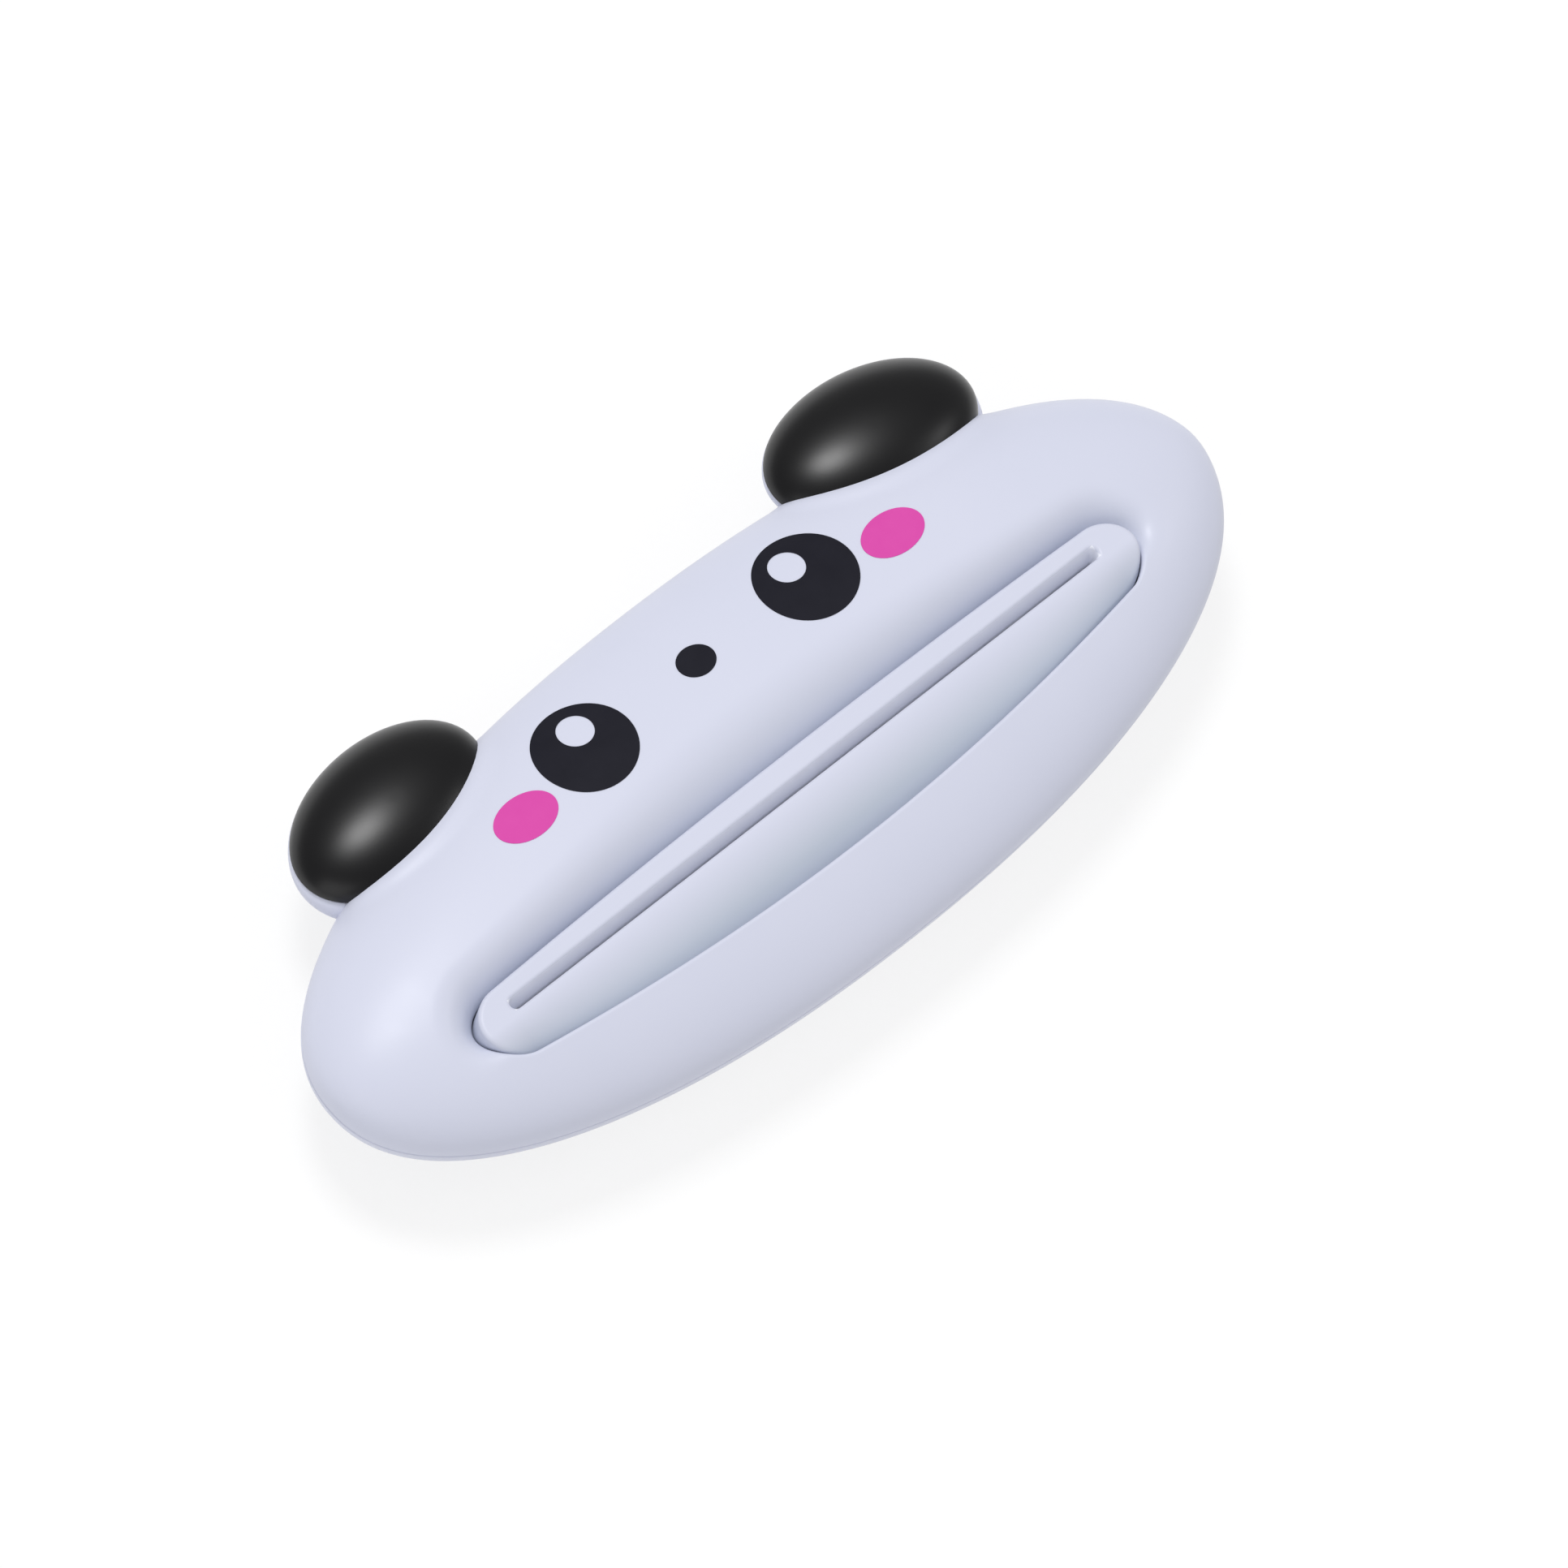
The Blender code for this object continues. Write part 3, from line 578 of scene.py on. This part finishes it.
def rest_rail(name, side, half, share):
    """A straight rail with softened edges, midway between the groove and the land's edge."""
    land_edge = BODY_HALF_WIDTH * arch(LAND_DEPTH / REAR_DEPTH, SECTION_POWER)
    middle = mix(side * TROUGH_HALF_WIDTH - SLOT_DROP, side * land_edge, 0.5)
    length = BODY_HALF_LENGTH * share
    rings = []
    for across, down in rounding() + [(1.0, 0.0)]:
        inset = RAIL_RISE * across
        ring = []
        for end, ahead in ((1, 1), (-1, 1), (-1, -1), (1, -1)):
            ring.append((end * (length - inset), middle + ahead * (half - inset)))
        rings.append(raised(ring, -LAND_DEPTH - RAIL_RISE * (1.0 - down)))
    root = [(x, y) for x, y, z in rings[0]]
    rings.insert(0, raised(root, WALL / 2 - LAND_DEPTH))
    return place(name, fill(name, rings, False))


def ear_point(side, a, b):
    """The place at a along and b up an ear that leans outwards."""
    turn = -side * EAR_TILT
    x = side * EAR_SPREAD + a * math.cos(turn) - b * math.sin(turn)
    return x, ear_middle() + a * math.sin(turn) + b * math.cos(turn)


def lobe_mesh(side, facing, depth, flare):
    """Half of an ear's rounded lobe, before or behind the ear's seam, with a flared outer root."""
    rings = []
    for step in range(LOBE_STEPS):
        swing = math.pi / 2 * step / LOBE_STEPS
        level = mix(SEAM_HALF, depth, math.sin(swing))
        scale = arch(level / depth, SECTION_POWER)
        if step == 0:
            scale -= SEAM_LIP / EAR_HALF_HEIGHT
        ring = []
        for i in range(EAR_STEPS):
            turn = 2.0 * math.pi * i / EAR_STEPS
            reach = math.hypot(math.cos(turn) / EAR_HALF_LENGTH, math.sin(turn) / EAR_HALF_HEIGHT)
            root = flare * max(math.cos(turn - ROOT_TURN), 0.0) ** ROOT_POWER
            radius = scale / reach + root * math.sin(math.pi * level / depth)
            a = side * radius * math.cos(turn)
            b = radius * math.sin(turn)
            ring.append((*ear_point(side, a, b), EAR_SEAM - EAR_LEAN * b + facing * level))
        rings.append(ring)
    return fill("lobe", rings, False)


def oval(x, y, half_wide, half_high):
    """An oval's outline about a place."""
    turns = [2.0 * math.pi * i / PRINT_STEPS for i in range(PRINT_STEPS)]
    return [(x + half_wide * math.cos(turn), y + half_high * math.sin(turn)) for turn in turns]


def over_face(lines, lift):
    """Rings of points at a height over the face."""
    return [raised(line, lambda x, y: face_height(x, y) + lift) for line in lines]


def film(name, x, y, half_wide, half_high, bare=None):
    """An ink film laid on the face: an oval, with a round window where a bare place is given."""
    step = BEAD_WIDTH
    slope = (face_height(x, y + step) - face_height(x, y - step)) / (2.0 * step)
    shrink = 1.0 / math.hypot(1.0, slope)
    outer = oval(x, y, half_wide, half_high * shrink)
    if bare:
        bare_x, bare_y, radius = bare
        inner = oval(bare_x, bare_y, radius, radius * shrink)
    else:
        inner = between([(x, y)] * PRINT_STEPS, outer, FILM_CORE_SHARE)
    lines = [between(inner, outer, i / FILM_STEPS) for i in range(FILM_STEPS + 1)]
    rings = over_face(lines, FILM_LIFT + FILM_THICKNESS) + over_face(reversed(lines), FILM_LIFT)
    return place(name, fill(name, rings, bool(bare)))


# Looks. Colours are linear, noise scales are in turns per metre and heights in metres. A noise is its
# scale, detail and roughness, and a span is the part of it that is used
WHITE_PLASTIC = {
    "colour": (0.648, 0.667, 0.790),
    "stain_shares": (0.975, 0.98, 0.985),
    "roughness": 0.36,
    "grain": (2400.0, 2.0, 0.6),
    "grain_height": 0.0000035,
    "coat": 0.05,
    "coat_roughness": 0.25,
    "shine": 0.22,
}
BLACK_PLASTIC = {
    "colour": (0.003, 0.003, 0.004),
    "stain_shares": (1.18, 1.12, 1.1),
    "roughness": 0.35,
    "grain": (3200.0, 2.0, 0.6),
    "grain_height": 0.000005,
    "coat": 0.66,
    "coat_roughness": 0.33,
    "shine": 0.15,
}
PLASTIC_IOR = 1.5
CLOUD = (55.0, 3.0, 0.55)
CLOUD_SPAN = (0.3, 0.75)
GLOSS = (210.0, 4.0, 0.6)
GLOSS_SPAN = (0.3, 0.7)
GLOSS_BELOW = 0.035
GLOSS_ABOVE = 0.045
RUB_TURN = math.radians(24)
RUB_SCALES = (90.0, 2600.0, 400.0)
RUB = (1.0, 2.0, 0.5)
RUB_SPAN = (0.69, 0.76)
RUB_ROUGHNESS = 0.06
RUB_CUT = -0.06
SWELL = (120.0, 1.0, 0.4)
SWELL_HEIGHT_SHARE = 4.0

# Painted light: the paler white laid on the slot's walls
SLOT_PAINTED_LIGHT = (0.83, 0.85, 0.94)
# Painted shade: the darker, cyan-grey white laid into the hollows beside the slot and on the tongue
HOLLOW_PAINTED_SHADE = (0.555, 0.605, 0.685)
SLOT_WALL_REACH = SLOT_HALF_WIDTH + SLOT_ROUND / 8

BLACK_INK = {"colour": (0.013, 0.013, 0.020), "thin_colour": (0.016, 0.016, 0.024)}
PINK_INK = {"colour": (0.66, 0.070, 0.385), "thin_colour": (0.68, 0.080, 0.40)}
INK_CLOUD = (420.0, 4.0, 0.6)
INK_ROUGHNESS_RANGE = (0.43, 0.55)
INK_PORES = (5200.0, 2.0, 0.6)
INK_PORE_HEIGHT = 0.000004
INK_SHINE = 0.08


class Nodes:
    """Short calls that add and join the nodes of a material or of the world."""

    def __init__(self, owner):
        owner.use_nodes = True
        self.tree = owner.node_tree

    def add(self, kind, **values):
        """A node, with values for its settings or for its sockets."""
        node = self.tree.nodes.new("ShaderNode" + kind)
        for key, value in values.items():
            if hasattr(node, key):
                setattr(node, key, value)
            else:
                node.inputs[key.replace("_", " ")].default_value = value
        return node

    def join(self, source, target, output=0, socket=0):
        self.tree.links.new(source.outputs[output], target.inputs[socket])

    def noise(self, where, scale, detail, roughness, output="Object"):
        """A noise over the piece's own coordinates, or over a mapping of them."""
        node = self.add("TexNoise", Scale=scale, Detail=detail, Roughness=roughness)
        self.join(where, node, output, "Vector")
        return node

    def span(self, source, low, high, to_low=0.0, to_high=1.0, output=0):
        """A value's range from low to high, mapped onto another range."""
        node = self.add("MapRange", From_Min=low, From_Max=high, To_Min=to_low, To_Max=to_high)
        self.join(source, node, output, "Value")
        return node

    def maths(self, operation, source, number=0.0, output=0):
        """A sum on a value, with a second number where it takes one."""
        node = self.add("Math", operation=operation)
        node.inputs[1].default_value = number
        self.join(source, node, output, 0)
        return node

    def colours(self, share, first, second, output=0):
        """A mix of two colours, of which the first can also be a node."""
        node = self.add("MixRGB", Color2=(*second, 1.0))
        self.join(share, node, output, "Fac")
        if isinstance(first, tuple):
            node.inputs["Color1"].default_value = (*first, 1.0)
        else:
            self.join(first, node, 0, "Color1")
        return node

    def relief(self, height, depth):
        """Fine relief that only bends the light."""
        node = self.add("Bump", Strength=1.0, Distance=depth)
        self.join(height, node, 0, "Height")
        return node


def new_material(name):
    """A material, its nodes and its shader."""
    material = bpy.data.materials.new(name)
    n = Nodes(material)
    return material, n, n.tree.nodes["Principled BSDF"]


def plastic(name, look, painted_light_and_shade=None):
    """Moulded plastic: faint clouds in its colour, uneven gloss, a fine grain and hairline rubs, with
    painted light and shade laid over the colour where it is given.
    """
    material, n, shader = new_material(name)
    where = n.add("TexCoord")

    colour = look["colour"]
    stain = tuple(part * share for part, share in zip(colour, look["stain_shares"]))
    tint = n.colours(n.span(n.noise(where, *CLOUD), *CLOUD_SPAN), colour, stain)
    n.join(painted_light_and_shade(n, where, tint) if painted_light_and_shade else tint, shader, 0, "Base Color")

    roughness = look["roughness"]
    glossiest, dullest = roughness - GLOSS_BELOW, roughness + GLOSS_ABOVE
    gloss = n.span(n.noise(where, *GLOSS), *GLOSS_SPAN, glossiest, dullest)
    drawn = n.add("Mapping", Rotation=(0.0, 0.0, RUB_TURN), Scale=RUB_SCALES)
    n.join(where, drawn, "Object", "Vector")
    hairs = n.span(n.noise(drawn, *RUB, "Vector"), *RUB_SPAN)
    rubbed = n.maths("MULTIPLY_ADD", hairs, RUB_ROUGHNESS)
    n.join(gloss, rubbed, 0, 2)
    n.join(rubbed, shader, 0, "Roughness")

    cut = n.maths("MULTIPLY_ADD", hairs, RUB_CUT)
    n.join(n.noise(where, *look["grain"]), cut, 0, 2)
    grain = n.relief(cut, look["grain_height"])
    swell = n.relief(n.noise(where, *SWELL), look["grain_height"] * SWELL_HEIGHT_SHARE)
    n.join(grain, swell, 0, "Normal")
    n.join(swell, shader, 0, "Normal")

    shader.inputs["Coat Weight"].default_value = look["coat"]
    shader.inputs["Coat Roughness"].default_value = look["coat_roughness"]
    shader.inputs["IOR"].default_value = PLASTIC_IOR
    shader.inputs["Specular IOR Level"].default_value = look["shine"]
    return material


def painted_hollow_shade(n, where, tint):
    """Painted shade: a darker, cyan-grey white painted into the hollows beside the slot and on the
    tongue's lower part, where shade falls.
    """
    return n.colours(n.add("Attribute", attribute_name="hollow"), tint, HOLLOW_PAINTED_SHADE, "Fac")


def painted_slot_light(n, where, tint):
    """Painted light: the slot's walls are painted paler than the rest, so the deep, narrow slot reads
    lighter than its light makes it.
    """
    parts = n.add("SeparateXYZ")
    n.join(where, parts, "Object", 0)
    across = n.maths("ABSOLUTE", n.maths("ADD", parts, SLOT_DROP - ORIGIN.y, "Y"))
    along = n.maths("ABSOLUTE", parts, output="X")
    within = n.maths("MULTIPLY", n.maths("LESS_THAN", across, SLOT_WALL_REACH))
    n.join(n.maths("LESS_THAN", along, SLOT_HALF_LENGTH), within, 0, 1)
    return n.colours(within, painted_hollow_shade(n, where, tint), SLOT_PAINTED_LIGHT)


def ink(name, look):
    """Pad-printed ink: a dense film, a little uneven, with fine pores."""
    material, n, shader = new_material(name)
    where = n.add("TexCoord")
    cloud = n.noise(where, *INK_CLOUD)
    tint = n.colours(n.span(cloud, *CLOUD_SPAN), look["colour"], look["thin_colour"])
    n.join(tint, shader, 0, "Base Color")
    n.join(n.span(cloud, 0.0, 1.0, *INK_ROUGHNESS_RANGE), shader, 0, "Roughness")
    pores = n.relief(n.noise(where, *INK_PORES), INK_PORE_HEIGHT)
    n.join(pores, shader, 0, "Normal")
    shader.inputs["Specular IOR Level"].default_value = INK_SHINE
    return material


def make_face():
    white = plastic("face_white", WHITE_PLASTIC, painted_hollow_shade)
    show(place("face_skin", front_mesh()), "front_shell", white)


def make_tongue():
    white = plastic("tongue_white", WHITE_PLASTIC, painted_slot_light)
    show(place("tongue_skin", insert_mesh()), "slot_throat", white)


def rear_core():
    """The space that the back fills, drawn in so that the ears' backs run into its skin."""
    outer = body_line(SEAM_STEP)
    core = [(x * REAR_CORE_SHARE, y * REAR_CORE_SHARE) for x, y in outer]
    rings = []
    for i in range(CORE_STEPS):
        ring = between(core, outer, math.sin(math.pi / 2 * (i + 1) / CORE_STEPS))
        rings.append(raised(ring, lambda x, y: -crown(x, y, REAR_DEPTH, SEAM_STEP, REAR_CROWN_POWER)))
    rings.append(raised(outer, WALL))
    return place("rear_core", fill("rear_core", rings, False))


def make_back(seat):
    """The white back, with the rails that it rests on and the white backs of the ears."""
    back = place("back_skin", rear_mesh())
    added = [
        rest_rail("upper_rail", 1, UPPER_RAIL_HALF_WIDTH, UPPER_RAIL_SHARE),
        rest_rail("lower_rail", -1, LOWER_RAIL_HALF_WIDTH, LOWER_RAIL_SHARE),
    ]
    for side, side_name in SIDE_NAMES.items():
        ear = place("back_lobe_" + side_name, lobe_mesh(side, -1, EAR_BACK_DEPTH, ROOT_FLARE))
        carve(ear, [(rear_core(), "DIFFERENCE"), (twin(seat), "DIFFERENCE")])
        added.append(ear)
    carve(back, [(solid, "UNION") for solid in added])
    show(back, "rear_shell", plastic("back_white", WHITE_PLASTIC))


def make_ears(seat):
    """The black fronts of the ears, seated in the face."""
    for side, side_name in SIDE_NAMES.items():
        name = side_name + "_ear"
        ear = place(name + "_skin", lobe_mesh(side, 1, EAR_DOME, 0.0))
        carve(ear, [(twin(seat), "DIFFERENCE")])
        show(ear, name, plastic(name + "_black", BLACK_PLASTIC))


def show_print(name, mark, look):
    """The film stands for the printed disc of that name, in its own ink."""
    show(mark, name, ink(name + "_ink", look))


def make_prints():
    """The eyes with their bare highlights, the cheeks and the nose."""
    for side, side_name in SIDE_NAMES.items():
        bare = (side * (EYE_SPREAD - HIGHLIGHT_INWARD), FACE_LINE + HIGHLIGHT_UP, HIGHLIGHT_RADIUS)
        name = side_name + "_eye"
        eye = film(name + "_film", side * EYE_SPREAD, FACE_LINE, EYE_RADIUS, EYE_RADIUS, bare)
        show_print(name, eye, BLACK_INK)
        name = side_name + "_cheek"
        middle = (side * CHEEK_SPREAD, FACE_LINE - CHEEK_DROP)
        show_print(name, film(name + "_film", *middle, CHEEK_HALF_WIDTH, CHEEK_HALF_HEIGHT), PINK_INK)
    nose = film("nose_film", 0.0, FACE_LINE, NOSE_HALF_WIDTH, NOSE_HALF_HEIGHT)
    show_print("nose", nose, BLACK_INK)


# The floor, and how much of it glows where the camera or a reflection sees it
FLOOR_REACH = 6.0
FLOOR_COLOUR = (0.8, 0.8, 0.8, 1.0)
FLOOR_ROUGHNESS = 0.9
FLOOR_GLOW_SHARE = 0.72
FLOOR_GLOW = 1.08

# The light from all round: its strength on the part, as the camera sees it, and less in reflections
SKY_COLOUR = (1.0, 1.0, 1.0, 1.0)
SKY_LIGHT = 0.58
SKY_SEEN = 1.0
SKY_LESS_IN_REFLECTIONS = 0.33

# The lamps: where each stands, its width and height, and its power in watts
LAMPS = {
    "key": ((0.05, 0.46, 1.11), (0.32, 0.32), 6.35),
    "left": ((-1.03, -0.34, 0.54), (0.95, 0.95), 2.4),
    "right": ((0.80, -0.35, 0.82), (0.34, 0.16), 0.8),
}
LAMP_AIM = (0.0, 0.0, 0.006)


def pale_floor():
    """A plain pale floor. The camera and reflections see it almost white, with the shadow kept."""
    corners = [(-1, -1), (1, -1), (1, 1), (-1, 1)]
    mesh = bpy.data.meshes.new("floor")
    mesh.from_pydata([(x * FLOOR_REACH, y * FLOOR_REACH, 0.0) for x, y in corners], [], [(0, 1, 2, 3)])
    floor = bpy.data.objects.new("floor", mesh)
    bpy.context.scene.collection.objects.link(floor)

    material, n, shader = new_material("floor")
    shader.inputs["Base Color"].default_value = FLOOR_COLOUR
    shader.inputs["Roughness"].default_value = FLOOR_ROUGHNESS
    shader.inputs["Specular IOR Level"].default_value = 0.0
    rays = n.add("LightPath")
    seen = n.maths("MAXIMUM", rays, output="Is Camera Ray")
    n.join(rays, seen, "Is Glossy Ray", 1)
    both = n.add("MixShader")
    n.join(n.maths("MULTIPLY", seen, FLOOR_GLOW_SHARE), both, 0, 0)
    n.join(shader, both, 0, 1)
    n.join(n.add("Emission", Strength=FLOOR_GLOW), both, 0, 2)
    n.join(both, n.tree.nodes["Material Output"], 0, "Surface")
    mesh.materials.append(material)


def pale_sky():
    """A plain light from all round, which the camera sees as white."""
    world = bpy.data.worlds.new("studio")
    bpy.context.scene.world = world
    n = Nodes(world)
    rays = n.add("LightPath")
    strength = n.maths("MULTIPLY_ADD", rays, -SKY_LESS_IN_REFLECTIONS, "Is Glossy Ray")
    n.join(n.span(rays, 0.0, 1.0, SKY_LIGHT, SKY_SEEN, "Is Camera Ray"), strength, 0, 2)
    sky = n.tree.nodes["Background"]
    sky.inputs["Color"].default_value = SKY_COLOUR
    n.join(strength, sky, 0, "Strength")


def make_lamps():
    """Soft rectangular lamps that face the part."""
    for name, (spot, (width, height), power) in LAMPS.items():
        light = bpy.data.lights.new(name, "AREA")
        light.shape = "RECTANGLE"
        light.size = width
        light.size_y = height
        light.energy = power
        lamp = bpy.data.objects.new(name, light)
        lamp.location = spot
        lamp.rotation_euler = (Vector(LAMP_AIM) - Vector(spot)).to_track_quat("-Z", "Y").to_euler()
        bpy.context.scene.collection.objects.link(lamp)


# The photograph's view: the part turned, tipped and rolled, and seen from far off. The centre of the
# picture is a place in the part, shifted along and across the face
VIEW_TURN = math.radians(24.142)
VIEW_TILT = math.radians(12.6)
VIEW_ROLL = math.radians(37.875)
VIEW_CENTRE = (0.0, -0.00341, 0.0056)
VIEW_SHIFT = (-0.001661, 0.000817)
VIEW_WIDTH = 0.12075
VIEW_DISTANCE = 3.0
VIEW_END = 100.0
SENSOR = 36.0


def photo_camera():
    depth, side = math.cos(VIEW_TURN), math.sin(VIEW_TURN)
    level, lean = math.cos(VIEW_TILT), math.sin(VIEW_TILT)
    toward = Vector((-side, -depth * lean, depth * level))
    along = Vector((depth, -side * lean, side * level))
    across = Vector((0.0, level, lean))
    right = along * math.cos(VIEW_ROLL) - across * math.sin(VIEW_ROLL)
    up = along * math.sin(VIEW_ROLL) + across * math.cos(VIEW_ROLL)
    centre = ORIGIN + Vector(VIEW_CENTRE) + along * VIEW_SHIFT[0] + across * VIEW_SHIFT[1]
    turned = Matrix((right, up, toward)).transposed().to_4x4()

    data = bpy.data.cameras.new("photo_camera")
    data.sensor_width = SENSOR
    data.lens = SENSOR * VIEW_DISTANCE / VIEW_WIDTH
    data.clip_end = VIEW_END
    camera = bpy.data.objects.new("photo_camera", data)
    camera.matrix_world = Matrix.Translation(centre + toward * VIEW_DISTANCE) @ turned
    bpy.context.scene.collection.objects.link(camera)
    bpy.context.scene.camera = camera


make_face()
make_tongue()
ear_seat = front_solid()
make_back(ear_seat)
make_ears(ear_seat)
bpy.data.objects.remove(ear_seat)
make_prints()
pale_floor()
pale_sky()
make_lamps()
photo_camera()
bpy.context.scene.view_settings.view_transform = "Standard"
